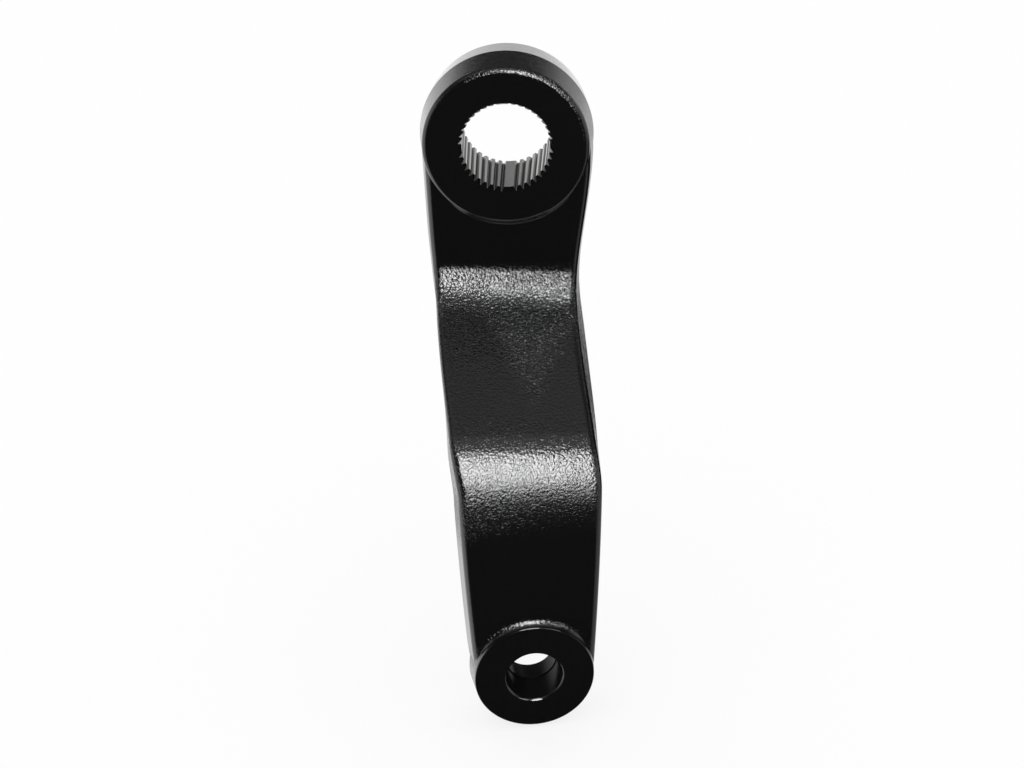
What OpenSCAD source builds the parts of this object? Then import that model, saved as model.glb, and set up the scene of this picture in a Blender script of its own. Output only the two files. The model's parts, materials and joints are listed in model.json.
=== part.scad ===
// Drop pitman arm, a one-piece steel forging: a splined eye at the top, a Z-bent arm that drops
// toward the front, and a tapered stud boss at the bottom. Sizes are in millimetres.
// The eye's axis lies along Y with its nut side at -Y, and the arm hangs along -Z.

/* [Eye] */
// thickness of the eye, face to face
eye_t = 25; // [22:0.5:30]
// radius of the flat nut face
eye_face_r = 25.7; // [24:0.1:28]
// rounding at the rim of both eye faces
eye_round = 2; // [1:0.1:2.4]
// height of the nut face over the upper flat of the arm
eye_step = 2; // [1.4:0.1:3]
// height of the back face over the back of the arm
eye_back_step = 3; // [1:0.1:6]
// fillet round the foot of the nut face
eye_fillet = 1.2; // [0.6:0.1:1.4]

/* [Spline] */
// groove-bottom radius at the nut side
spline_r = 15.6; // [14.5:0.1:17]
// depth of a groove
groove_depth = 1; // [0.6:0.05:1.3]
// width of a groove at the tooth crests
groove_w = 1.4; // [0.8:0.05:1.8]
// angular positions around the bore
positions = 40; // [40:4:48]
// wide master teeth, each a position without a groove
master_teeth = 4; // [2, 4]
// growth of the bore diameter per millimetre of depth
spline_taper = 0.0625; // [0:0.0025:0.07]
// width of the chamfer ring on the nut face
mouth_w = 0.2; // [0.1:0.1:1.5]

/* [Arm] */
// distance from the eye's axis to the boss centre, along the arm
reach = 164.5; // [155:0.5:180]
// distance from the nut face to the boss face, toward the front
drop = 68.6; // [60:0.2:75]
// arm width at the neck and along the ramp
arm_w = 49; // [44:0.5:52]
// rounding along the edges of the arm
edge_round = 2.6; // [1.5:0.1:3.2]
// draft of the forged side walls, in degrees
draft = 7; // [4:0.5:9]

/* [Bends] */
// where the upper flat would meet the ramp, below the eye's axis
bend_top = 53.8; // [48:0.2:58]
// where the ramp would meet the lower flat
bend_low = 82.8; // [78:0.2:88]
// slant of the upper bend line, in degrees
bend_top_skew = 7.2; // [0:0.2:9]
// slant of the lower bend line, in degrees
bend_low_skew = 5.3; // [0:0.2:9]
// front radius of the upper bend
bend_top_r = 16; // [12:0.5:22]
// front radius of the lower bend
bend_low_r = 20; // [15:0.5:22]
// back radius of the lower bend
bend_low_back_r = 9; // [6:0.5:12]
// sideways offset of the neck
neck_shift = -3.8; // [-4.5:0.1:0]
// sideways offset of the lower bend
bend_shift = 1.9; // [0:0.1:3]

/* [Boss] */
// radius of the boss face
boss_face_r = 20.25; // [19:0.05:22]
// thickness of the boss, face to face
boss_t = 18.5; // [17:0.1:22]
// height of the boss face over the lower flat
boss_step = 2.5; // [2.3:0.1:3]
// turn of the boss about the length of the arm, in degrees
boss_turn = 7.6; // [0:0.2:9]
// height of the boss back over the back of the arm
boss_back_step = 0.8; // [0.4:0.1:2]
// fillet round the foot of the boss face
boss_fillet = 2.1; // [1:0.1:2.2]

/* [Stud hole] */
// radius of the taper at the boss face
stud_r = 9.55; // [8:0.05:11]
// length of the taper
taper_len = 11.1; // [9:0.1:13]
// change of the taper's diameter per millimetre
stud_taper = 0.125; // [0.08:0.005:0.167]
// shoulder between the taper and the straight land
land_step = 0.35; // [0.1:0.05:0.6]
// chamfer at the mouth of the taper
stud_chamfer = 0.5; // [0.2:0.1:1]
// chamfer at the mouth of the land
land_chamfer = 0.2; // [0.1:0.1:0.6]

/* [Hidden] */
$fn = 96;
// overshoot of a cutter past a face
over = 1;
// how far the arm's ends tuck inside the round walls of the eye and the boss
tuck = 0.9;
tip_in = 0.3;
tuck_run = 12;
// flare of the neck where it leaves the eye
flare = -0.15;
flare_start = 7;
tip_shift = -0.8;
// how far above the upper fold and below the lower fold the changes along the arm start and end
ramp_lead = 18;
ramp_lag = 22;
side_lead = 3.8;
side_lag = 11.2;
turn_lead = 10;
turn_lag = 8;
thin_lag = 10;
// how far the foot fillets stop short of the sides of the eye and the boss
eye_foot_in = 5;
boss_foot_in = 1.5;
// how far a foot fillet's block reaches under the flat, and how far its edge sinks into it
foot_depth = 1;
foot_sink = 0.12;
// steps of a rounding, and spans across the arm
arc_n = 5;
across_n = 7;

wall_r = eye_face_r + eye_round * cos(draft)
    + (eye_t / 2 - eye_round * (1 - sin(draft))) * tan(draft);
boss_r = boss_face_r + boss_t / 2 * tan(draft);
face_y = -eye_t / 2;
boss_y = face_y - drop;
top_y = face_y + eye_step;
low_y = boss_y + boss_step / cos(boss_turn);
neck_t = eye_t - eye_step - eye_back_step;
tip_t = boss_t - boss_step - boss_back_step;
ramp_t = (neck_t + tip_t) / 2;
bend_top_back_r = bend_top_r + neck_t * 0.6;
land_r = stud_r - taper_len * stud_taper / 2 - land_step;
arm_start = -5;
neck_end = bend_top + bend_top_r;
side_start = bend_top - side_lead;
side_end = bend_low + side_lag;
ramp_start = bend_top - ramp_lead;
ramp_end = bend_low + ramp_lag;
turn_start = bend_top - turn_lead;
turn_end = bend_low + turn_lag;
thin_end = bend_low + thin_lag;

// Smooth step from a to b while t goes from 0 to 1
function blend(a, b, t) =
    let (u = min(max(t, 0), 1))
    a + (b - a) * u * u * (3 - 2 * u);

// Middle line and half width of the arm at a distance s below the eye's axis
function mid_x(s) =
    s < side_start ? blend(0, neck_shift, s / side_start)
    : s < side_end ? blend(neck_shift, bend_shift, (s - side_start) / (side_end - side_start))
    : bend_shift + (tip_shift - bend_shift) * (s - side_end) / (reach - side_end);
function half_w(s) =
    s < neck_end
        ? blend(wall_r + flare, arm_w / 2, (s - flare_start) / (neck_end - flare_start))
            - blend(tuck, 0, s / tuck_run)
        : arm_w / 2
            - (arm_w / 2 - boss_r + tip_in) * pow(max(s - side_end, 0) / (reach - side_end), 1.5);
function thick(s) = blend(neck_t, tip_t, (s - bend_top) / (thin_end - bend_top));
function turn(s) = blend(0, boss_turn, (s - turn_start) / (turn_end - turn_start));

// Depth of a face made of an upper flat ya, a ramp and a lower flat yb, rounded at both folds
function bent_y(s, sa, ya, sb, yb, ra, rb) =
    let (
        m = (ya - yb) / (sb - sa),
        p = atan(m),
        ta = ra * tan(p / 2),
        tb = rb * tan(p / 2)
    )
    s <= sa - ta ? ya
    : s < sa - ta + ra * sin(p) ? ya - ra + sqrt(ra * ra - pow(s - sa + ta, 2))
    : s <= sb + tb - rb * sin(p) ? ya - m * (s - sa)
    : s < sb + tb ? yb + rb - sqrt(rb * rb - pow(s - sb - tb, 2))
    : yb;

function fold_top(x) = bend_top + x * tan(bend_top_skew);
function fold_low(x) = bend_low + x * tan(bend_low_skew);
function flat_low(x) = low_y + x * tan(boss_turn);
function slope(x) = atan((top_y - flat_low(x)) / (fold_low(x) - fold_top(x)));
function front_y(x, s) =
    bent_y(s, fold_top(x), top_y, fold_low(x), flat_low(x), bend_top_r, bend_low_r);
function back_y(x, s) =
    let (p = slope(x))
    bent_y(
        s,
        fold_top(x) + (ramp_t / cos(p) - neck_t) / tan(p),
        top_y + neck_t,
        fold_low(x) + (ramp_t / cos(p) - tip_t) / tan(p),
        flat_low(x) + tip_t,
        bend_top_back_r,
        bend_low_back_r
    );
// Depth in Y that a distance d along the face normal takes at station s
function front_in(x, s, d) =
    d * norm([1, (front_y(x, s + 0.05) - front_y(x, s - 0.05)) / 0.1]);
function back_in(x, s, d) =
    d * norm([1, (back_y(x, s + 0.05) - back_y(x, s - 0.05)) / 0.1]);

// One closed section of the arm at station s, from the left parting line round by the front
function section(s) =
    let (
        h = thick(s) / 2 - edge_round * (1 - sin(draft)),
        d = tan(draft),
        w = tan(turn(s)),
        e = edge_round * cos(draft),
        xl = mid_x(s) - half_w(s),
        xr = mid_x(s) + half_w(s),
        fl = xl + h * (d + w) + e,
        fr = xr - h * (d - w) - e,
        bl = xl + h * (d - w) + e,
        br = xr - h * (d + w) - e,
        a = [for (i = [0:arc_n]) draft + (90 - draft) * i / arc_n]
    )
    [
        [xl, (front_y(xl, s) + back_y(xl, s)) / 2, -s],
        for (i = [0:arc_n])
            let (x = fl - edge_round * cos(a[i]))
            [x, front_y(x, s) + front_in(x, s, edge_round * (1 - sin(a[i]))), -s],
        for (i = [1:across_n - 1])
            let (x = fl + (fr - fl) * i / across_n)
            [x, front_y(x, s), -s],
        for (i = [arc_n:-1:0])
            let (x = fr + edge_round * cos(a[i]))
            [x, front_y(x, s) + front_in(x, s, edge_round * (1 - sin(a[i]))), -s],
        [xr, (front_y(xr, s) + back_y(xr, s)) / 2, -s],
        for (i = [0:arc_n])
            let (x = br + edge_round * cos(a[i]))
            [x, back_y(x, s) - back_in(x, s, edge_round * (1 - sin(a[i]))), -s],
        for (i = [across_n - 1:-1:1])
            let (x = bl + (br - bl) * i / across_n)
            [x, back_y(x, s), -s],
        for (i = [arc_n:-1:0])
            let (x = bl - edge_round * cos(a[i]))
            [x, back_y(x, s) - back_in(x, s, edge_round * (1 - sin(a[i]))), -s]
    ];

// The Z-bent forged bar between the eye and the boss
module bar() {
    stations = concat(
        [for (i = [0:8]) arm_start + (ramp_start - arm_start) * i / 9],
        [for (i = [0:29]) ramp_start + (ramp_end - ramp_start) * i / 30],
        [for (i = [0:9]) ramp_end + (reach - ramp_end) * i / 9]
    );
    rings = [for (s = stations) section(s)];
    n = len(rings[0]);
    m = len(rings);
    polyhedron(
        points = [for (r = rings) for (p = r) p],
        faces = concat(
            [[for (i = [n - 1:-1:0]) i]],
            [[for (i = [0:n - 1]) (m - 1) * n + i]],
            [
                for (k = [0:m - 2])
                    for (i = [0:n - 1])
                        [k * n + i, k * n + (i + 1) % n, (k + 1) * n + (i + 1) % n]
            ],
            [
                for (k = [0:m - 2])
                    for (i = [0:n - 1])
                        [k * n + i, (k + 1) * n + (i + 1) % n, (k + 1) * n + i]
            ]
        ),
        convexity = 6
    );
}

// Half profile of a drafted round pad, from its face at z = 0 to the parting line at z = h
function pad_side(face_r, round, h) =
    [
        for (i = [0:arc_n])
            let (a = 90 - (90 - draft) * i / arc_n)
            [face_r + round * cos(a), round * (1 - sin(a))],
        [face_r + round * cos(draft) + (h - round * (1 - sin(draft))) * tan(draft), h]
    ];

// The eye: a round pad that tapers both ways from its parting line
module eye() {
    side = pad_side(eye_face_r, eye_round, eye_t / 2);
    rotate([-90, 0, 0])
        translate([0, 0, -eye_t / 2])
            rotate_extrude()
                polygon(concat(
                    [[0, 0]],
                    side,
                    [for (i = [len(side) - 2:-1:0]) [side[i][0], eye_t - side[i][1]]],
                    [[0, eye_t]]
                ));
}

// Place children on the boss axis, with z = 0 at the boss face and +z into the boss
module on_boss() {
    translate([0, boss_y, -reach])
        rotate([0, 0, boss_turn])
            rotate([-90, 0, 0])
                children();
}

// The boss: a drafted round pad with a sharp machined face
module boss() {
    on_boss()
        rotate_extrude()
            polygon([
                [0, 0],
                [boss_face_r, 0],
                [boss_r, boss_t / 2],
                [boss_face_r, boss_t],
                [0, boss_t]
            ]);
}

// Part-ring fillet at the foot of a round pad, with z = 0 on the flat and +z out of it.
// The fillet's own centre circle has radius r, and it leaves the pad at the angle from.
module foot_fillet(r, size, from, half_angle) {
    arc = [for (i = [0:arc_n]) from + (270 - from) * i / arc_n];
    rim = [for (a = arc) [r + size * cos(a), size * (1 + sin(a)) - foot_sink]];
    rotate([0, 0, -90 - half_angle])
        rotate_extrude(angle = 2 * half_angle)
            polygon(concat(
                [[rim[0][0] - foot_depth, -foot_depth], [rim[0][0] - foot_depth, rim[0][1]]],
                rim,
                [[r + foot_sink, -foot_depth]]
            ));
}

// Cutter for the tapered, splined bore with its chamfered mouth
module spline_bore() {
    pitch = 360 / positions;
    gap = positions / master_teeth;
    crest = spline_r - groove_depth;
    half = asin(groove_w / 2 / crest);
    grow = 1 + spline_taper * (eye_t + 2 * over) / 2 / spline_r;
    rotate([-90, 0, 0])
        translate([0, 0, -eye_t / 2 - over])
            linear_extrude(eye_t + 2 * over, scale = grow)
                polygon([
                    for (i = [0:positions - 1])
                        for (q = i % gap == 0 ? [[0, 0]] : [[-half, 0], [0, 1], [half, 0]])
                            let (a = i * pitch + q[0])
                            (crest + groove_depth * q[1]) * [cos(a), sin(a)]
                ]);
    rotate([-90, 0, 0])
        translate([0, 0, -eye_t / 2 - over])
            cylinder(h = 2 * over, r1 = spline_r + mouth_w + over, r2 = spline_r + mouth_w - over);
}

// Cutter for the stud hole: chamfer, taper, shoulder and straight land
module stud_hole() {
    on_boss() {
        translate([0, 0, -over])
            cylinder(
                h = taper_len + over,
                r1 = stud_r + over * stud_taper / 2,
                r2 = stud_r - taper_len * stud_taper / 2
            );
        translate([0, 0, -over])
            cylinder(h = boss_t + 2 * over, r = land_r);
        translate([0, 0, -over])
            cylinder(h = over + stud_chamfer, r1 = stud_r + stud_chamfer + over, r2 = stud_r);
        translate([0, 0, boss_t - land_chamfer])
            cylinder(h = land_chamfer + over, r1 = land_r, r2 = land_r + land_chamfer + over);
    }
}

// Fillet between the rounded rim of the nut face and the upper flat
module eye_foot() {
    rise = eye_fillet - eye_step + eye_round;
    out = sqrt(pow(eye_round + eye_fillet, 2) - rise * rise);
    foot_r = eye_face_r + out;
    rotate([90, 0, 0])
        translate([0, 0, -top_y])
            foot_fillet(
                foot_r,
                eye_fillet,
                180 + atan(rise / out),
                asin((wall_r - eye_foot_in) / foot_r)
            );
}

// Fillet between the wall of the boss and the lower flat
module boss_foot() {
    on_boss()
        translate([0, 0, boss_step])
            mirror([0, 0, 1])
                foot_fillet(
                    boss_face_r + boss_fillet,
                    boss_fillet,
                    180,
                    asin((boss_face_r - boss_foot_in) / boss_face_r)
                );
}

// The whole forging
module pitman_arm() {
    color("#1c1c1d")
        difference() {
            union() {
                eye();
                bar();
                boss();
                eye_foot();
                boss_foot();
            }
            spline_bore();
            stud_hole();
        }
}

pitman_arm();
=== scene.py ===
import json
import math

import bmesh
import bpy
from mathutils import Matrix, Vector


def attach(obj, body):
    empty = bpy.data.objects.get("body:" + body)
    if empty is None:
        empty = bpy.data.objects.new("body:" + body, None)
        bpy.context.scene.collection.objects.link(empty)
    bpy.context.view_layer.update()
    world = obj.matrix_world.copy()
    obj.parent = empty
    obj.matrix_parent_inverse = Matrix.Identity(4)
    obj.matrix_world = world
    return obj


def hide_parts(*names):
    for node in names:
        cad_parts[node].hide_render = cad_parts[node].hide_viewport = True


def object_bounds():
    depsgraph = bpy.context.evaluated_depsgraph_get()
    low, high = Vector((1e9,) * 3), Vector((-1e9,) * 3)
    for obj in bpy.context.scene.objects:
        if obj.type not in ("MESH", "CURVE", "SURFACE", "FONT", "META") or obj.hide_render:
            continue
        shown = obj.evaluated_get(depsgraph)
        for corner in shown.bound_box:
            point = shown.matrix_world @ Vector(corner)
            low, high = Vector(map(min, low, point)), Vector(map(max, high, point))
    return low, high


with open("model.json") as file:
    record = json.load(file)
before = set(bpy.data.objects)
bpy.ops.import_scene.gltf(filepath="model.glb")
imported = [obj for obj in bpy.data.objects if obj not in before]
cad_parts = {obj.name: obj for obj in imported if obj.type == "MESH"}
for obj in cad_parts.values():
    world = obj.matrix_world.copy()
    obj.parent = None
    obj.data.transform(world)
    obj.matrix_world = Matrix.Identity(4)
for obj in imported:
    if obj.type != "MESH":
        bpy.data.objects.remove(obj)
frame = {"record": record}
cad_low, cad_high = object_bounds()
bpy.ops.object.select_all(action="DESELECT")

# The arm: the flat steel bar of the forging, folded twice into a Z, with drafted sides and rounded edges.
# Its front and back skins are drawn row by row out of flat grids, bridged round the rim, pushed out
# along the parting line of the die and rounded along the four long edges.
MOUNTS = {mount["name"]: mount for mount in frame["record"]["mounts"]}
NUT_FACE_Y = MOUNTS["nut_face"]["pos_m"][1]
EYE_BACK_Y = MOUNTS["eye_back"]["pos_m"][1]
EYE_T = EYE_BACK_Y - NUT_FACE_Y
BOSS_CENTRE = Vector(MOUNTS["stud_taper"]["pos_m"])
BOSS_OUT = Vector(MOUNTS["stud_taper"]["axis"])
BOSS_TURN = math.atan2(BOSS_OUT.x, -BOSS_OUT.y)
REACH = -BOSS_CENTRE.z
DRAFT = math.radians(7)
LEFT_DRAFT = math.radians(10)
FACE_ON = (math.pi / 2, 0, 0)

EYE_STEP = 0.002
EYE_BACK_STEP = 0.003
EYE_WALL_R = 0.02899
BOSS_STEP = 0.0025
BOSS_BACK_STEP = 0.0008
BOSS_T = 0.0185
BOSS_WALL_R = 0.02138

NECK_T = EYE_T - EYE_STEP - EYE_BACK_STEP
TIP_T = BOSS_T - BOSS_STEP - BOSS_BACK_STEP
RAMP_T = (NECK_T + TIP_T) / 2
UPPER_FLAT_Y = NUT_FACE_Y + EYE_STEP
LOWER_FLAT_Y = BOSS_CENTRE.y + BOSS_STEP / math.cos(BOSS_TURN)
UPPER_FOLD = 0.0538
LOWER_FOLD = 0.0830
UPPER_SLANT = math.radians(7.2)
LOWER_SLANT = math.radians(5.3)
RAMP_TILT = math.atan2(UPPER_FLAT_Y - LOWER_FLAT_Y, LOWER_FOLD - UPPER_FOLD)
# The radius of each skin's upper and lower fold, and how much rounder the fold is where it leaves its flat.
FRONT_FOLDS = ((0.0158, 0), (0.0185, 1.6))
BACK_FOLDS = ((0.028, 0), (0.009, 0))
NECK_ROWS = 14
FOLD_ROWS = 24
RAMP_ROWS = 16
TIP_ROWS = 18

# The middle of the bar wanders sideways, and its width narrows from the eye to the boss.
ARM_HALF_W = 0.0242
NECK_SHIFT = -0.0039
FOLD_SHIFT = 0.0022
TIP_SHIFT = -0.0010
SIDE_START = 0.0545
SIDE_END = 0.0940
FLARE_IN = 0.00017
FLARE_END = 0.0745
EYE_TUCK = 0.0001
TUCK_RUN = 0.008
BOSS_TUCK = 0.0002
TIP_CURVE = 1.5
TIP_TUCK = 0.0004
TIP_RUN = 0.012
LEFT_OUT = RAMP_T / 2 * math.tan(LEFT_DRAFT)
RIGHT_OUT = RAMP_T / 2 * math.tan(DRAFT)
EDGE_ROUND = 0.0026
EDGE_STEPS = 10
ACROSS = 14
PER_ROW = ACROSS + 1
SIDE_ROUNDS = 3


def share(start, end, at):
    """How far at lies between start and end, from 0 to 1."""
    return min(max((at - start) / (end - start), 0), 1)


def ease(first, last, part):
    """A smooth step from first to last while part goes from 0 to 1."""
    return first + (last - first) * part * part * (3 - 2 * part)


def side_at(down, side):
    """Where the parting line of one side lies, -1 left and 1 right, at a distance below the eye."""
    middle = ease(0, NECK_SHIFT, share(0, SIDE_START, down))
    middle += ease(0, FOLD_SHIFT - NECK_SHIFT, share(SIDE_START, SIDE_END, down))
    middle += (TIP_SHIFT - FOLD_SHIFT) * share(SIDE_END, REACH, down)
    half = ease(EYE_WALL_R - FLARE_IN, ARM_HALF_W, share(0, FLARE_END, down))
    half -= ease(EYE_TUCK, 0, share(0, TUCK_RUN, down))
    half -= (ARM_HALF_W - BOSS_WALL_R + BOSS_TUCK) * share(SIDE_END, REACH, down) ** TIP_CURVE
    if side < 0:
        half -= ease(0, TIP_TUCK, share(REACH - TIP_RUN, REACH, down))
    return middle + side * half


def fold_arc(radius, spread):
    """The way along and off a flat through a fold up to the ramp, rounder where it leaves the flat."""
    points = [(0, 0)]
    for i in range(FOLD_ROWS):
        part = (i + 0.5) / FOLD_ROWS
        length = radius * (1 + spread * (1 - part) ** 3) * RAMP_TILT / FOLD_ROWS
        tilt = part * RAMP_TILT
        along, off = points[-1]
        points.append((along + length * math.cos(tilt), off + length * math.sin(tilt)))
    return points


def skin_rows(upper_fold, upper_y, lower_fold, lower_y, folds):
    """The rows of one skin from the boss up: distance below the eye, depth, slant and twist."""
    upper_arc, lower_arc = (fold_arc(*fold) for fold in folds)
    upper_start = upper_fold + upper_arc[-1][1] / math.tan(RAMP_TILT) - upper_arc[-1][0]
    lower_end = lower_fold - lower_arc[-1][1] / math.tan(RAMP_TILT) + lower_arc[-1][0]
    rows = []
    for i in range(NECK_ROWS):
        rows.append((upper_start * i / NECK_ROWS, upper_y, UPPER_SLANT * i / NECK_ROWS, 0))
    for along, off in upper_arc:
        rows.append((upper_start + along, upper_y - off, UPPER_SLANT, 0))
    ramp_start, ramp_start_y = rows[-1][:2]
    ramp_end = lower_end - lower_arc[-1][0]
    ramp_end_y = lower_y + lower_arc[-1][1]
    for i in range(1, RAMP_ROWS):
        down = ramp_start + (ramp_end - ramp_start) * i / RAMP_ROWS
        depth = ramp_start_y + (ramp_end_y - ramp_start_y) * i / RAMP_ROWS
        slant = UPPER_SLANT + (LOWER_SLANT - UPPER_SLANT) * i / RAMP_ROWS
        rows.append((down, depth, slant, BOSS_TURN * i / RAMP_ROWS))
    for along, off in lower_arc[::-1]:
        rows.append((lower_end - along, lower_y + off, LOWER_SLANT, BOSS_TURN))
    for i in range(1, TIP_ROWS + 1):
        slant = LOWER_SLANT * (1 - i / TIP_ROWS)
        rows.append((lower_end + (REACH - lower_end) * i / TIP_ROWS, lower_y, slant, BOSS_TURN))
    return rows[::-1]


def pick(piece, wanted):
    """Selects the vertices of a piece in edit mode that are wanted, with the edges between them."""
    bpy.ops.mesh.select_mode(type="VERT")
    bpy.ops.mesh.select_all(action="DESELECT")
    mesh = bmesh.from_edit_mesh(piece.data)
    for vert in mesh.verts:
        vert.select = wanted(vert)
    mesh.select_flush(True)
    bmesh.update_edit_mesh(piece.data)


def pick_edges(piece, wanted):
    """Selects the edges of a piece in edit mode that are wanted."""
    bpy.ops.mesh.select_mode(type="EDGE")
    bpy.ops.mesh.select_all(action="DESELECT")
    mesh = bmesh.from_edit_mesh(piece.data)
    for edge in mesh.edges:
        edge.select = wanted(edge)
    mesh.select_flush_mode()
    bmesh.update_edit_mesh(piece.data)


def turn(angle, axis, centre):
    """Rotates the selection the usual way round about an axis through a centre."""
    bpy.ops.transform.rotate(value=-angle, orient_axis=axis, center_override=centre)


def settle(piece):
    """Puts the object's place and turn into its mesh."""
    bpy.ops.object.select_all(action="DESELECT")
    piece.select_set(True)
    bpy.context.view_layer.objects.active = piece
    bpy.ops.object.transform_apply(location=True, rotation=True, scale=True)


def draw_row(piece, number, height, row, out):
    """Moves one row of a flat grid to its place and stretches it between the sides of the arm."""
    down, depth, slant, twist = row
    centre = Vector((0, depth, -down))
    pick(piece, lambda vert: vert.index // PER_ROW == number)
    bpy.ops.transform.translate(value=centre - Vector((0, 0, height)))
    lean = out * TIP_T / 2 * math.tan(twist)
    left = right = lean
    # A slanted row meets the two sides at other heights than its middle, so its ends are found in rounds.
    for again in range(SIDE_ROUNDS):
        left = side_at(down + left * math.tan(slant), -1) + LEFT_OUT + lean
        right = side_at(down + right * math.tan(slant), 1) - RIGHT_OUT + lean
    along = math.cos(slant) * math.cos(twist)
    bpy.ops.transform.resize(value=((right - left) / along, 1, 1), center_override=centre)
    bpy.ops.transform.translate(value=((left + right) / 2 / along, 0, 0))
    turn(slant, "Y", centre)
    turn(twist, "Z", centre)


front_rows = skin_rows(UPPER_FOLD, UPPER_FLAT_Y, LOWER_FOLD, LOWER_FLAT_Y, FRONT_FOLDS)
back_rows = skin_rows(
    UPPER_FOLD + (RAMP_T / math.cos(RAMP_TILT) - NECK_T) / math.tan(RAMP_TILT),
    UPPER_FLAT_Y + NECK_T,
    LOWER_FOLD + (RAMP_T / math.cos(RAMP_TILT) - TIP_T) / math.tan(RAMP_TILT),
    LOWER_FLAT_Y + TIP_T,
    BACK_FOLDS,
)
ROW_COUNT = len(front_rows)
SKIN = ROW_COUNT * PER_ROW
GRID = {"x_subdivisions": ACROSS, "y_subdivisions": ROW_COUNT - 1, "size": 1, "rotation": FACE_ON}
bpy.ops.mesh.primitive_grid_add(**GRID)
arm = bpy.context.object
arm.name = "pitman_arm_forging"
settle(arm)
bpy.ops.object.mode_set(mode="EDIT")
bpy.ops.mesh.primitive_grid_add(**GRID)
for skin, (rows, out) in enumerate(((front_rows, 1), (back_rows, -1))):
    for number, row in enumerate(rows):
        draw_row(arm, skin * ROW_COUNT + number, number / (ROW_COUNT - 1) - 0.5, row, out)

pick_edges(arm, lambda edge: edge.is_boundary)
bpy.ops.mesh.bridge_edge_loops()
bpy.ops.mesh.select_all(action="SELECT")
bpy.ops.mesh.normals_make_consistent(inside=False)
pick_edges(arm, lambda edge: abs(edge.verts[0].index - edge.verts[1].index) == SKIN)
bpy.ops.mesh.subdivide(number_cuts=1)
for side, draft_out in ((-1, LEFT_OUT), (1, RIGHT_OUT)):
    pick(arm, lambda vert: vert.index >= 2 * SKIN and vert.co.x * side > ARM_HALF_W / 2)
    bpy.ops.transform.translate(value=(side * draft_out, 0, 0))


def is_long_edge(edge):
    """True for an edge that runs along a side of the front or the back skin."""
    first, last = (vert.index for vert in edge.verts)
    at_side = all(index % PER_ROW in (0, ACROSS) for index in (first, last))
    return at_side and max(first, last) < 2 * SKIN and abs(first - last) == PER_ROW


pick_edges(arm, is_long_edge)
bpy.ops.mesh.bevel(
    offset=EDGE_ROUND * math.tan((math.pi / 2 - DRAFT) / 2),
    segments=EDGE_STEPS,
    affect="EDGES",
    clamp_overlap=False,
)
bpy.ops.mesh.select_all(action="SELECT")
bpy.ops.mesh.normals_make_consistent(inside=False)
bpy.ops.object.mode_set(mode="OBJECT")

# The eye: the round end that clamps on the sector shaft, forged in one with the arm. It is drafted both
# ways from the parting line, its rim is rounded and a small fillet runs round the foot of its step.
EYE_FACE_R = EYE_WALL_R - EYE_T / 2 * math.tan(DRAFT)
EYE_ROUND = 0.0020
EYE_ROUND_STEPS = 10
EYE_SIDES = 192
# The fillet's radius and ring, and in degrees the start of its arc, half its run and the run's middle.
EYE_FOOT = {"fillet": 0.0012, "ring": 0.02867, "start": 202, "half": 56.8, "middle": -90}
FOOT_POINTS = 72
FOOT_SINK = 0.00012
FOOT_FADE = 0.55
FOOT_END = 0.15


def turned(name, profile, sides):
    """A round piece about Z, drawn out of a disc step by step along a list of radii and heights."""
    radius, height = profile[0]
    bpy.ops.mesh.primitive_circle_add(
        vertices=sides, radius=radius, fill_type="NGON", location=(0, 0, height)
    )
    piece = bpy.context.object
    piece.name = name
    settle(piece)
    bpy.ops.object.mode_set(mode="EDIT")
    bpy.ops.mesh.select_all(action="SELECT")
    for next_radius, next_height in profile[1:]:
        bpy.ops.mesh.extrude_region_move(TRANSFORM_OT_translate={"value": (0, 0, next_height - height)})
        grow = next_radius / radius
        bpy.ops.transform.resize(value=(grow, grow, 1), center_override=(0, 0, 0))
        radius, height = next_radius, next_height
    bpy.ops.mesh.select_all(action="SELECT")
    bpy.ops.mesh.normals_make_consistent(inside=False)
    bpy.ops.object.mode_set(mode="OBJECT")
    return piece


def round_rims(piece, height, size, steps):
    """Bevels the two end rims of a round piece that is centred on the origin."""
    bpy.ops.object.mode_set(mode="EDIT")
    pick_edges(piece, lambda edge: all(abs(vert.co.z) > height for vert in edge.verts))
    bpy.ops.mesh.bevel(offset=size, segments=steps, affect="EDGES")
    bpy.ops.object.mode_set(mode="OBJECT")


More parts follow.
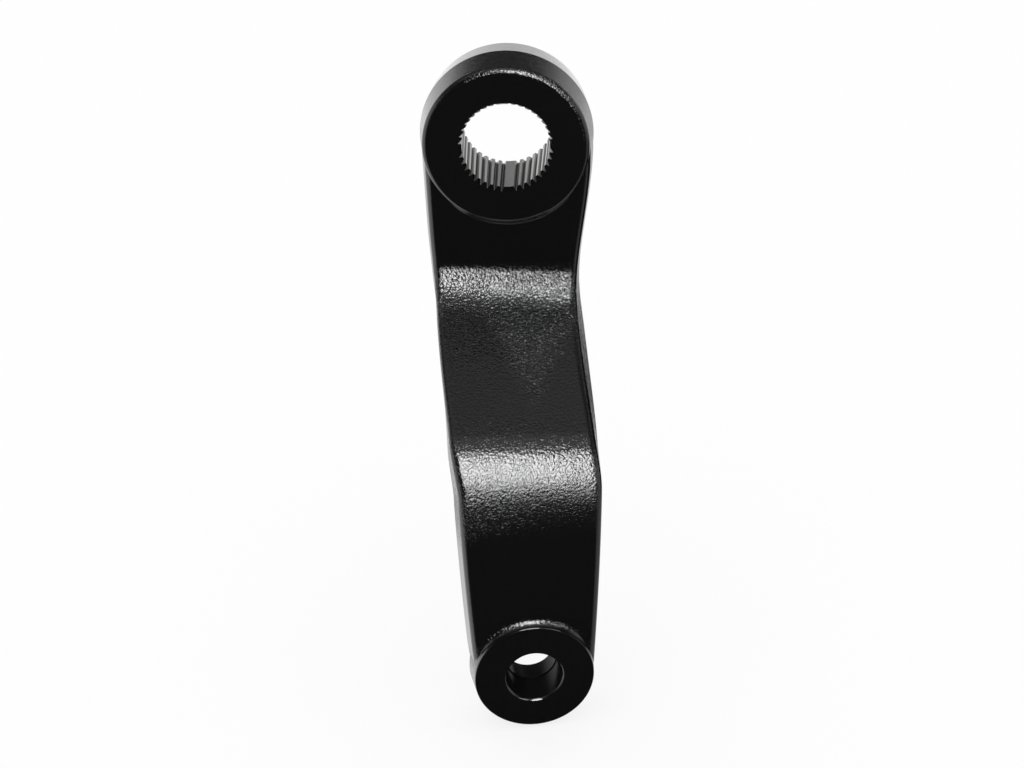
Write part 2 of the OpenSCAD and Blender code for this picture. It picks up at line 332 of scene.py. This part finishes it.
def foot(name, fillet, ring, start, half, middle):
    """Part of a ring with a hollow fillet on top: an arc swept about Z, its ends faded out."""
    bpy.ops.mesh.primitive_circle_add(vertices=FOOT_POINTS, radius=fillet, rotation=FACE_ON)
    piece = bpy.context.object
    piece.name = name
    settle(piece)
    bpy.ops.object.mode_set(mode="EDIT")
    arc_start = math.radians(start) - 0.001
    arc_end = math.radians(270.5)
    pick(piece, lambda vert: not arc_start <= math.atan2(vert.co.z, vert.co.x) % math.tau <= arc_end)
    bpy.ops.mesh.delete(type="VERT")
    bpy.ops.mesh.select_all(action="SELECT")
    bpy.ops.transform.translate(value=(ring, 0, fillet))
    bpy.ops.mesh.extrude_region_move()
    bpy.ops.transform.translate(value=(-fillet / 2, 0, 0))
    bpy.ops.transform.resize(value=(1, 1, 0), center_override=(0, 0, -FOOT_SINK))
    bpy.ops.mesh.select_all(action="SELECT")
    turn(math.radians(middle + half), "Z", (0, 0, 0))
    steps = int(half / 2)
    bpy.ops.mesh.spin(steps=2 * steps, angle=math.radians(2 * half), center=(0, 0, 0), axis=(0, 0, 1))
    bpy.ops.mesh.select_all(action="SELECT")
    bpy.ops.mesh.remove_doubles(threshold=0.000001)
    bpy.ops.mesh.normals_make_consistent(inside=False)
    for number in range(2 * steps + 1):
        off = (number - steps) / steps
        angle = math.radians(middle) + off * math.radians(half)
        outward = Vector((math.cos(angle), math.sin(angle), 0))
        shrink = ease(1, FOOT_END, share(FOOT_FADE, 1, abs(off)))
        pick(piece, lambda vert: abs(vert.co.xy.normalized().dot(outward.xy) - 1) < 1e-5)
        bpy.ops.transform.resize(value=(shrink, shrink, shrink), center_override=outward * (ring - fillet))
    bpy.ops.object.mode_set(mode="OBJECT")
    return piece


def place(piece, at, turned_by):
    """Sets a finished helper piece down in the arm."""
    piece.location = at
    piece.rotation_euler = turned_by
    settle(piece)


def combine(piece, other, operation):
    """Joins a helper piece to the arm or cuts it out, and clears the helper away."""
    bpy.ops.object.select_all(action="DESELECT")
    piece.select_set(True)
    bpy.context.view_layer.objects.active = piece
    bpy.ops.object.modifier_add(type="BOOLEAN")
    change = piece.modifiers[-1]
    change.operation = operation
    change.solver = "EXACT"
    change.object = other
    bpy.ops.object.modifier_apply(modifier=change.name)
    bpy.data.objects.remove(other)


eye_profile = [(EYE_FACE_R, -EYE_T / 2), (EYE_WALL_R, 0), (EYE_FACE_R, EYE_T / 2)]
eye = turned("eye", eye_profile, EYE_SIDES)
round_rims(eye, EYE_T / 4, EYE_ROUND * math.tan((math.pi / 2 - DRAFT) / 2), EYE_ROUND_STEPS)
place(eye, (0, 0, 0), FACE_ON)
combine(arm, eye, "UNION")
eye_foot = foot("eye_foot", **EYE_FOOT)
place(eye_foot, (0, UPPER_FLAT_Y, 0), FACE_ON)
combine(arm, eye_foot, "UNION")

# The boss: the thinner round end for the ball stud, turned a little about the length of the arm.
# It is forged with the arm and drafted like the eye, with a wider fillet at its foot.
BOSS_FACE_R = BOSS_WALL_R - BOSS_T / 2 * math.tan(DRAFT)
BOSS_FOOT = {"fillet": 0.0021, "ring": 0.02235, "start": 180, "half": 67.8, "middle": 90}
BOSS_EDGE = 0.0002
BOSS_EDGE_STEPS = 3
BOSS_SIDES = 160
BOSS_FACE_ON = (math.pi / 2, 0, BOSS_TURN)

boss_profile = [(BOSS_FACE_R, -BOSS_T / 2), (BOSS_WALL_R, 0), (BOSS_FACE_R, BOSS_T / 2)]
boss = turned("boss", boss_profile, BOSS_SIDES)
round_rims(boss, BOSS_T / 4, BOSS_EDGE, BOSS_EDGE_STEPS)
place(boss, BOSS_CENTRE - BOSS_OUT * BOSS_T / 2, BOSS_FACE_ON)
combine(arm, boss, "UNION")
boss_foot = foot("boss_foot", **BOSS_FOOT)
place(boss_foot, BOSS_CENTRE - BOSS_OUT * BOSS_STEP, BOSS_FACE_ON)
combine(arm, boss_foot, "UNION")

# The bore: a tapered spline for the sector shaft, broached through the eye and left as bare steel.
# Four wide master teeth stand where a groove is missing, and the mouth is chamfered on the nut side.
SPLINE_R = 0.0156
GROOVE_DEPTH = 0.0010
GROOVE_HALF = 0.0007
ROOT_HALF = 0.000125
POSITIONS = 40
PER_QUARTER = POSITIONS // 4
SPLINE_TAPER = 0.0625 / 2
CREST_R = SPLINE_R - GROOVE_DEPTH
MOUTH_LIP = 0.00005
MOUTH_R = SPLINE_R - MOUTH_LIP
MOUTH_DEPTH = 0.0017
MOUTH_SLOPE = (MOUTH_R - CREST_R) / MOUTH_DEPTH
BORE_SIDES = 160
OVERRUN = 0.001

bore_end = EYE_T + OVERRUN
bore_profile = [
    (MOUTH_R + OVERRUN * MOUTH_SLOPE, OVERRUN),
    (CREST_R, -MOUTH_DEPTH),
    (CREST_R + SPLINE_TAPER * bore_end, -bore_end),
]
bore = turned("bore", bore_profile, BORE_SIDES)
place(bore, (0, NUT_FACE_Y, 0), FACE_ON)
combine(arm, bore, "DIFFERENCE")

bpy.ops.mesh.primitive_cube_add(size=1)
grooves = bpy.context.object
grooves.name = "grooves"
inner_r = CREST_R - GROOVE_DEPTH / 2
groove_flare = (GROOVE_HALF - ROOT_HALF) / GROOVE_DEPTH
bpy.ops.object.mode_set(mode="EDIT")
for end, end_r in ((1, SPLINE_R), (-1, inner_r)):
    end_half = ROOT_HALF + (SPLINE_R - end_r) * groove_flare
    pick(grooves, lambda vert: vert.co.x * end > 0)
    bpy.ops.transform.resize(value=(1, 2 * end_half, 1), center_override=(0, 0, 0))
    bpy.ops.transform.translate(value=(end_r - end / 2, 0, 0))
bpy.ops.mesh.select_all(action="SELECT")
bpy.ops.transform.resize(value=(1, 1, bore_end + OVERRUN), center_override=(0, 0, 0))
bpy.ops.transform.translate(value=(0, 0, (OVERRUN - bore_end) / 2))
pick(grooves, lambda vert: vert.co.z < 0)
far_size = 1 + SPLINE_TAPER * bore_end / SPLINE_R
bpy.ops.transform.resize(value=(far_size, far_size, 1), center_override=(0, 0, 0))
bpy.ops.mesh.select_all(action="SELECT")
turn(math.tau / POSITIONS, "Z", (0, 0, 0))
for number in range(2, POSITIONS):
    places = 2 if number % PER_QUARTER == 1 else 1
    if number % PER_QUARTER:
        bpy.ops.mesh.duplicate()
        turn(places * math.tau / POSITIONS, "Z", (0, 0, 0))
bpy.ops.object.mode_set(mode="OBJECT")
place(grooves, (0, NUT_FACE_Y, 0), FACE_ON)
combine(arm, grooves, "DIFFERENCE")

# The stud hole: the tapered seat of the ball stud, turned into the boss and painted over with the rest.
# It has a rounded mouth, a taper, a small shoulder and a straight land to the back.
STUD_R = 0.00955
TAPER_LEN = 0.0111
STUD_TAPER = 0.125 / 2
LAND_STEP = 0.00035
STUD_CHAMFER = 0.0005
LAND_CHAMFER = 0.0002
HOLE_SIDES = 128
# The rounded mouth from the face inward, as parts of the chamfer: how wide, and how deep.
STUD_MOUTH = ((1, 0), (0.75, 0.19), (0.45, 0.45), (0.19, 0.75), (0, 1))

taper_end_r = STUD_R - TAPER_LEN * STUD_TAPER
land_r = taper_end_r - LAND_STEP
hole_profile = [(STUD_R + STUD_CHAMFER, OVERRUN)]
for mouth_wide, mouth_deep in STUD_MOUTH:
    hole_profile.append((STUD_R + mouth_wide * STUD_CHAMFER, -mouth_deep * STUD_CHAMFER))
hole_profile += [
    (taper_end_r, -TAPER_LEN),
    (land_r, -TAPER_LEN),
    (land_r, LAND_CHAMFER - BOSS_T),
    (land_r + LAND_CHAMFER + OVERRUN, -BOSS_T - OVERRUN),
]
hole = turned("hole", hole_profile, HOLE_SIDES)
place(hole, BOSS_CENTRE, BOSS_FACE_ON)
combine(arm, hole, "DIFFERENCE")

# The finish of the forging: one skin, smooth over its roundings and sharp along its machined edges.
# The faces weigh the shading, so the flats stay flat beside the small radii.
SHARP_ANGLE = math.radians(11)
MERGE_GAP = 0.000002
bpy.ops.object.mode_set(mode="EDIT")
bpy.ops.mesh.select_all(action="SELECT")
bpy.ops.mesh.remove_doubles(threshold=MERGE_GAP)
bpy.ops.mesh.normals_make_consistent(inside=False)
bpy.ops.object.mode_set(mode="OBJECT")
bpy.ops.object.shade_smooth_by_angle(angle=SHARP_ANGLE)
bpy.ops.object.modifier_add(type="WEIGHTED_NORMAL")
arm.modifiers[-1].keep_sharp = True
bpy.ops.object.modifier_apply(modifier=arm.modifiers[-1].name)

# The paint: gloss black over the forged skin, thin enough to show its grain, and sprayed on. The grain
# is coarse over the two folds and the ramp, faint on the flats and gone on the machined faces.
# The spline is left as bare steel, with painted shade that darkens it down in its grooves.
PAINT_BLACK = (0.0056, 0.0056, 0.0056, 1)
STEEL_GREY = (0.20, 0.20, 0.196)
PAINT_IOR = 1.55
PAINT_ROUGHNESS = 0.10
STEEL_ROUGHNESS = 0.28
HOLE_ROUGHER = 0.12
TIP_ROUGHER = 0.15
PATCH_ROUGHER = 0.06
UNEVEN_GLOSS = 0.08
HOLE_DULL = 0.75
# Painted shade: how much darker the steel colour is made down in the grooves of the spline.
GROOVE_PAINTED_SHADE = 0.8
STREAK_DARK = 0.7
STREAK_LIGHT = 1.3

GRAIN_SIZE = 0.0008
GRAIN_HEIGHT = 0.00020
CREASE_SIZE = 0.0011
CREASE_WIDTH = 0.07
CREASE_DEPTH = 0.00005
PATCH_SIZE = 0.022
STREAK_SIZE = 0.0004
STREAK_STRETCH = 0.03
TOOL_PITCH = 0.00045
TOOL_HEIGHT = 0.000004

# How coarse the grain is on each part of the forging.
FOLD_GRAIN = 0.62
RAMP_GRAIN = 0.15
RAMP_CALM = 0.4
PATCH_GRAIN = 1.7
CORNER_GRAIN = 0.8
LEFT_GRAIN = 0.4
FLAT_GRAIN = 0.1
WALL_GRAIN = 0.12
FOOT_GRAIN = 0.4
LEAST_GRAIN = 0.6
UNEVEN_GRAIN = 0.8
MACHINED_AWAY = 0.9

# Where those parts start and end, each a soft step in metres. The ramp is told by how far it comes forward.
FOLDED_IN = (UPPER_FOLD - 0.014, UPPER_FOLD - 0.004)
FOLDED_OUT = (LOWER_FOLD + 0.020, LOWER_FOLD + 0.042)
FOLDED_WANDER = 0.012
RAMP_IN = (0.020, 0.026)
RAMP_OUT = (0.058, 0.066)
CALM_IN = (0.022, 0.050)
CORNER_IN = (0.0105, 0.0112)
CORNER_OUT = (0.018, 0.026)
PATCH_IN = (0.014, 0.020)
PATCH_OUT = (0.009, 0.019)
PATCH_X = 0.005
PATCH_TOP = 0.016
PATCH_NARROWS = 0.40
PATCH_WANDER = 0.010
TIP_IN = (0.007, 0.014)
LEFT_FADE = (-0.022, 0.014)
RIM_W = 0.0024
FOOT_R = (0.0220, 0.0232)
BARE_R = (0.0166, 0.0167)
RIM_TOP_X = (-0.016, -0.004)
RIM_TOP_END = (-0.018, -0.006)
WALL_END = (-0.002, 0.010)


class Wire:
    """An output socket in a node tree. Arithmetic on it adds Math nodes."""

    def __init__(self, tree, socket=None):
        self.tree = tree
        self.socket = socket

    def node(self, kind, settings=None, inputs=None, output=0):
        """Adds a node of any kind, sets it up, feeds its inputs and gives back one of its outputs."""
        made = self.tree.nodes.new(kind)
        for name, value in (settings or {}).items():
            setattr(made, name, value)
        for name, value in (inputs or {}).items():
            if isinstance(value, Wire):
                self.tree.links.new(value.socket, made.inputs[name])
            else:
                made.inputs[name].default_value = value
        return Wire(self.tree, made.outputs[output]) if made.outputs else None

    def math(self, operation, *values):
        """One Math node."""
        return self.node("ShaderNodeMath", {"operation": operation}, dict(enumerate(values)))

    def step(self, low, high):
        """A smooth step from 0 at low to 1 at high."""
        limits = {"Value": self, "From Min": low, "From Max": high}
        return self.node("ShaderNodeMapRange", {"interpolation_type": "SMOOTHSTEP"}, limits)

    def __add__(self, other):
        return self.math("ADD", self, other)

    def __radd__(self, other):
        return self.math("ADD", other, self)

    def __sub__(self, other):
        return self.math("SUBTRACT", self, other)

    def __rsub__(self, other):
        return self.math("SUBTRACT", other, self)

    def __mul__(self, other):
        return self.math("MULTIPLY", self, other)

    def __rmul__(self, other):
        return self.math("MULTIPLY", other, self)

    def __pow__(self, other):
        return self.math("POWER", self, other)


paint = bpy.data.materials.new("black_paint")
paint.use_nodes = True
paint.node_tree.nodes.clear()
coat = Wire(paint.node_tree)
on_arm = coat.node("ShaderNodeTexCoord", output="Object")


def noise(size, detail, where=on_arm):
    """Noise from 0 to 1 with lumps of about a given size in metres."""
    return coat.node("ShaderNodeTexNoise", None, {"Vector": where, "Scale": 1 / size, "Detail": detail})


def vector_math(operation, values, output=0):
    """One Vector Math node of the paint."""
    return coat.node("ShaderNodeVectorMath", {"operation": operation}, values, output)


across, inward, upward = (coat.node("ShaderNodeSeparateXYZ", None, {0: on_arm}, axis) for axis in "XYZ")
forward = -1 * inward
down = -1 * upward
eye_r = (across**2 + upward**2) ** 0.5
below_nut_face = inward - NUT_FACE_Y
from_boss = vector_math("SUBTRACT", {0: on_arm, 1: BOSS_CENTRE})
boss_out = vector_math("DOT_PRODUCT", {0: from_boss, 1: BOSS_OUT}, 1)
boss_far = vector_math("LENGTH", {0: from_boss}, 1)
boss_r = (boss_far**2 - boss_out**2) ** 0.5

# The machined faces: the nut face inside its rounded rim, the stud face and the stud hole.
nut_face = 1 - below_nut_face.step(0.0003, 0.0008)
nut_face = nut_face * (1 - eye_r.step(EYE_FACE_R - RIM_W, EYE_FACE_R - 0.0016))
stud_face = boss_out.step(-0.0008, -0.0003) * (1 - boss_r.step(BOSS_FACE_R, BOSS_FACE_R + 0.0004))
in_hole = (1 - boss_r.step(STUD_R + 0.0006, STUD_R + 0.0007)) * (1 - boss_out.step(-0.0008, -0.0005))
machined = coat.math("MAXIMUM", nut_face, coat.math("MAXIMUM", stud_face, in_hole))

# The parts of the forged skin: the folds with the ramp, the wall, rim and foot of the round ends, the
# corner under the upper fold, a patch of scale high on the ramp, and the way out of the lower fold.
patches = noise(PATCH_SIZE, 2)
folded = down.step(*FOLDED_IN) * (1 - (down + FOLDED_WANDER * patches).step(*FOLDED_OUT))
on_wall = (1 - eye_r.step(EYE_WALL_R, EYE_WALL_R + 0.001)) * (1 - down.step(*WALL_END))
on_rim = eye_r.step(EYE_FACE_R - RIM_W, EYE_FACE_R - 0.0014) * (1 - below_nut_face.step(0.0008, 0.0018))
rim_top = across.step(*RIM_TOP_X) * (1 - down.step(*RIM_TOP_END))
on_foot = (1 - boss_r.step(*FOOT_R)) * (1 - boss_out.step(-0.0010, -0.0004))
on_ramp = forward.step(*RAMP_IN) * (1 - forward.step(*RAMP_OUT))
calm = on_ramp * forward.step(*CALM_IN)
in_corner = forward.step(*CORNER_IN) * (1 - forward.step(*CORNER_OUT))
off_patch = coat.math("ABSOLUTE", across - PATCH_X) + PATCH_NARROWS * (forward - PATCH_TOP)
off_patch = off_patch + PATCH_WANDER * (patches - 0.5)
on_patch = forward.step(*PATCH_IN) * (1 - off_patch.step(*PATCH_OUT))
run_out = (down - LOWER_FOLD).step(*TIP_IN)
left_side = 1 - across.step(*LEFT_FADE)

# The relief of the paint: lumps with narrow creases between them, and the lines of the tool in the hole.
coarseness = FOLD_GRAIN + RAMP_GRAIN * on_ramp - RAMP_CALM * calm + PATCH_GRAIN * on_patch
coarseness = folded * (coarseness + CORNER_GRAIN * in_corner + LEFT_GRAIN * left_side * run_out)
coarseness = coat.math("MAXIMUM", coarseness, FLAT_GRAIN + WALL_GRAIN * on_wall + FOOT_GRAIN * on_foot)
coarseness = coarseness * (LEAST_GRAIN + UNEVEN_GRAIN * patches) * (1 - MACHINED_AWAY * machined)
coarseness = coat.math("MAXIMUM", coarseness, on_rim * rim_top)
crease_line = coat.math("ABSOLUTE", noise(CREASE_SIZE, 1) - 0.5)
grain = noise(GRAIN_SIZE, 0.6) * GRAIN_HEIGHT + crease_line.step(0, CREASE_WIDTH) * CREASE_DEPTH
tool_lines = coat.math("SINE", boss_out * (math.tau / TOOL_PITCH)) * in_hole
bare = (1 - eye_r.step(*BARE_R)) * below_nut_face.step(0.0001, 0.0002)
bare = bare * (eye_r + MOUTH_SLOPE * below_nut_face).step(MOUTH_R + 0.00002, MOUTH_R + 0.00006)
relief = (grain * coarseness + tool_lines * TOOL_HEIGHT) * (1 - bare)

# The colour: black, and on the teeth a grey steel with streaks along the bore, darkened in the grooves by
# painted shade.
along_bore = coat.node("ShaderNodeMapping", None, {"Vector": on_arm, "Scale": (1, STREAK_STRETCH, 1)})
streaks_and_groove_shade = noise(STREAK_SIZE, 2, along_bore)
streak_limits = {"Value": streaks_and_groove_shade, "To Min": STREAK_DARK, "To Max": STREAK_LIGHT}
streaks_and_groove_shade = coat.node("ShaderNodeMapRange", None, streak_limits)
# Painted shade: the steel colour is darkened down in the grooves.
groove_shade_mask = (eye_r - SPLINE_TAPER * below_nut_face).step(CREST_R + 0.0002, CREST_R + 0.0008)
streaks_and_groove_shade = streaks_and_groove_shade * (1 - GROOVE_PAINTED_SHADE * groove_shade_mask)
steel = vector_math("SCALE", {0: STEEL_GREY, "Scale": streaks_and_groove_shade})
colour = coat.node("ShaderNodeMix", {"data_type": "RGBA"}, {"Factor": bare, 6: PAINT_BLACK, 7: steel}, 2)
roughness = PAINT_ROUGHNESS + UNEVEN_GLOSS * (patches - 0.5) + HOLE_ROUGHER * in_hole
roughness = roughness + TIP_ROUGHER * run_out * folded + PATCH_ROUGHER * on_patch
roughness = roughness + bare * (STEEL_ROUGHNESS - roughness)
bump = coat.node("ShaderNodeBump", None, {"Strength": 1, "Distance": 1, "Height": relief})
gloss_inputs = {"Base Color": colour, "Metallic": bare, "Roughness": roughness, "Normal": bump}
gloss_inputs["IOR"] = PAINT_IOR
gloss = coat.node("ShaderNodeBsdfPrincipled", None, gloss_inputs)
dull = coat.node("ShaderNodeBsdfDiffuse", None, {"Color": PAINT_BLACK})
surface = coat.node("ShaderNodeMixShader", None, {0: HOLE_DULL * in_hole, 1: gloss, 2: dull})
coat.node("ShaderNodeOutputMaterial", None, {"Surface": surface})

arm.data.materials.append(paint)
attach(arm, "root")
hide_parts("pitman_arm")

# The camera: a long lens on a stand, where the photograph was taken. It stands a little right of the arm
# and looks down on it.
LENS = 70
SENSOR = 36
CAMERA_AT = Vector((0.0370, -0.6181, 0.2536))
CAMERA_RIGHT = Vector((0.9971, 0.0276, -0.0712))
CAMERA_UP = Vector((0.0483, 0.4943, 0.8680))
CAMERA_BACK = CAMERA_RIGHT.cross(CAMERA_UP)
bpy.ops.object.camera_add(location=CAMERA_AT)
camera = bpy.context.object
camera.data.lens = LENS
camera.data.sensor_width = SENSOR
camera.rotation_mode = "QUATERNION"
camera.rotation_quaternion = Matrix((CAMERA_RIGHT, CAMERA_UP, CAMERA_BACK)).transposed().to_quaternion()
bpy.context.scene.camera = camera
bpy.context.scene.view_settings.view_transform = "Standard"

# The floor: a plain white sheet. The camera sees it lit from within, so it stays white, with a faint
# shadow of the arm. Reflections pass it by and show the white of the studio round the arm instead.
FLOOR_SIZE = 6
FLOOR_GLOW = 0.8
FLOOR_WHITE = (0.97, 0.97, 0.97, 1)
bpy.ops.mesh.primitive_plane_add(size=FLOOR_SIZE, location=(0, 0, cad_low.z))
floor = bpy.context.object
floor.name = "floor"
floor.visible_glossy = False
sheet = bpy.data.materials.new("floor_white")
sheet.use_nodes = True
sheet.node_tree.nodes.clear()
paper = Wire(sheet.node_tree)
seen = paper.node("ShaderNodeLightPath", output="Is Camera Ray")
matt = paper.node("ShaderNodeBsdfDiffuse", None, {"Color": FLOOR_WHITE})
floor_glow = paper.node("ShaderNodeEmission", None, {"Strength": 1})
lit = paper.node("ShaderNodeMixShader", None, {0: FLOOR_GLOW * seen, 1: matt, 2: floor_glow})
paper.node("ShaderNodeOutputMaterial", None, {"Surface": lit})
floor.data.materials.append(sheet)

# The studio: white all round and low behind the arm, a light overhead, and a dark card below the lens that
# keeps the flats black. Matt surfaces get an even light, and the camera sees plain white.
AMBIENT = 1.0
STUDIO_WHITE = 1.4
UPWARD_LOSS = 1.28
RIGHT_LOSS = 0.35
OVERHEAD = 0.7
LOW_SHADE = 0.5
CARD_AT = Vector((0.0, -0.87, -0.49))
CARD_DARK = 0.97
world = bpy.data.worlds.new("studio")
bpy.context.scene.world = world
world.use_nodes = True
world.node_tree.nodes.clear()
studio = Wire(world.node_tree)
facing = studio.node("ShaderNodeTexCoord", output="Generated")
rightward, backward, level = (
    studio.node("ShaderNodeSeparateXYZ", None, {0: facing}, axis) for axis in "XYZ"
)
to_card = studio.node("ShaderNodeVectorMath", {"operation": "DOT_PRODUCT"}, {0: facing, 1: CARD_AT}, 1)
white = (STUDIO_WHITE - UPWARD_LOSS * level.step(0.06, 0.52)) * backward.step(-0.75, -0.3)
white = white * (1 - RIGHT_LOSS * rightward.step(0.2, 0.6))
overhead = OVERHEAD * level.step(0.6, 0.9) * (1 - backward.step(-0.1, 0.5))
shade = LOW_SHADE * (1 - level.step(-0.42, -0.22)) * rightward.step(-0.45, -0.2)
room = (white + overhead) * (1 - shade)
room = room * (1 - CARD_DARK * to_card.step(0.62, 0.86))
on_camera = studio.node("ShaderNodeLightPath", output="Is Camera Ray")
on_matt = studio.node("ShaderNodeLightPath", output="Is Diffuse Ray")
strength = on_camera + (1 - on_camera) * (on_matt * AMBIENT + (1 - on_matt) * room)
studio_glow = studio.node("ShaderNodeBackground", None, {"Color": (1, 1, 1, 1), "Strength": strength})
studio.node("ShaderNodeOutputWorld", None, {"Surface": studio_glow})

# The flag: a black card that stands behind the arm on its right. Only reflections see it, and it keeps
# the right wall of the ramp as dark as the ramp.
FLAG_W = 0.14
FLAG_H = 0.14
FLAG_AT = (0.11, 0.026, cad_low.z + FLAG_H / 2)
FLAG_TURN = math.radians(-32)
FLAG_BLACK = (0.01, 0.01, 0.01, 1)
bpy.ops.mesh.primitive_plane_add(size=1, location=FLAG_AT, rotation=(math.pi / 2, 0, FLAG_TURN))
flag = bpy.context.object
flag.name = "flag"
flag.scale = (FLAG_W, FLAG_H, 1)
settle(flag)
flag.visible_camera = False
flag.visible_diffuse = False
flag.visible_shadow = False
flag_card = bpy.data.materials.new("flag_black")
flag_card.use_nodes = True
flag_card.node_tree.nodes.clear()
felt = Wire(flag_card.node_tree)
felt_black = felt.node("ShaderNodeBsdfDiffuse", None, {"Color": FLAG_BLACK})
felt.node("ShaderNodeOutputMaterial", None, {"Surface": felt_black})
flag.data.materials.append(flag_card)

# The lamps: one large softbox in front, above the lens, and a dimmer one to its right. Each fades toward
# its lower and upper edge, as cloth in front of a lamp does.
LIT_POINT = Vector((0, -0.045, -0.07))
FADE_IN = (0, 0.45)
FADE_OUT = (0.72, 0.90)
# Degrees to the right and up, then distance, width and height in metres, and brightness.
SOFTBOXES = {
    "softbox": (10, 27, 1.3, 0.6, 2.2, 17.5),
    "side_softbox": (46, 22, 1.3, 0.4, 1.2, 4),
}
for name, (azimuth, rise, distance, width, tall, radiance) in SOFTBOXES.items():
    aim = math.radians(azimuth)
    lift = math.radians(rise)
    toward = Vector((math.sin(aim) * math.cos(lift), -math.cos(aim) * math.cos(lift), math.sin(lift)))
    bpy.ops.object.light_add(type="AREA", location=LIT_POINT + toward * distance)
    lamp = bpy.context.object
    lamp.name = name
    lamp.rotation_euler = toward.to_track_quat("Z", "Y").to_euler()
    lamp.data.shape = "RECTANGLE"
    lamp.data.size = width
    lamp.data.size_y = tall
    lamp.data.energy = radiance * math.pi * width * tall
    lamp.visible_diffuse = False
    lamp.data.use_nodes = True
    lamp.data.node_tree.nodes.clear()
    cloth = Wire(lamp.data.node_tree)
    spot = cloth.node("ShaderNodeNewGeometry", output="Parametric")
    up_cloth = cloth.node("ShaderNodeSeparateXYZ", None, {0: spot}, "Y")
    fade = up_cloth.step(*FADE_IN) * (1 - up_cloth.step(*FADE_OUT))
    lamp_glow = cloth.node("ShaderNodeEmission", None, {"Strength": fade})
    cloth.node("ShaderNodeOutputLight", None, {"Surface": lamp_glow})
